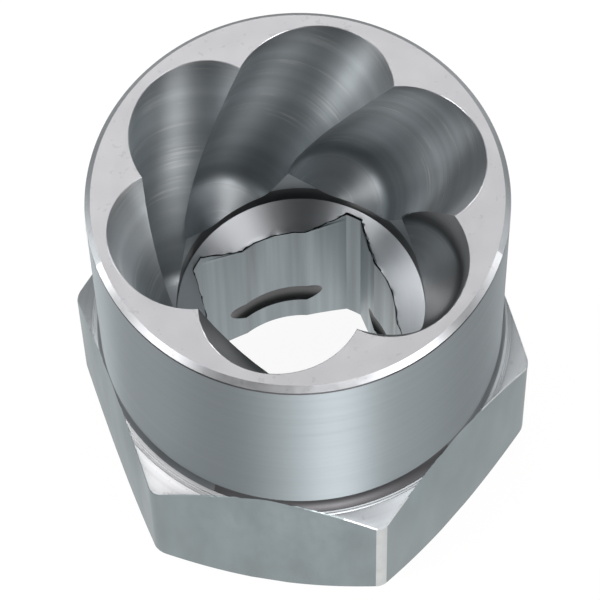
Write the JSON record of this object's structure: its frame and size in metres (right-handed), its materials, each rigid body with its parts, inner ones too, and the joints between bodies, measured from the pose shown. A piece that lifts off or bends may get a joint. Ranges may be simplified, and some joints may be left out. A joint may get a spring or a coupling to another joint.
{
  "type": "bolt extractor socket",
  "caption": "Steel socket with slanting left-hand flutes in its mouth that bite a rounded bolt head, a hexagonal wrench collar and a square drive.",
  "frame": {"origin": "centre of the flat base of the wrench collar, on the piece's own axis", "axes": "+Z along the axis from the drive end up to the fluted mouth, +X through a corner of the hexagonal collar"},
  "size_m": [0.0252, 0.022, 0.026],
  "materials": {
    "tool_steel": "satin machined, bare"
  },
  "bodies": {
    "root": {"extractor_body": "tool_steel"}
  },
  "joints": []
}
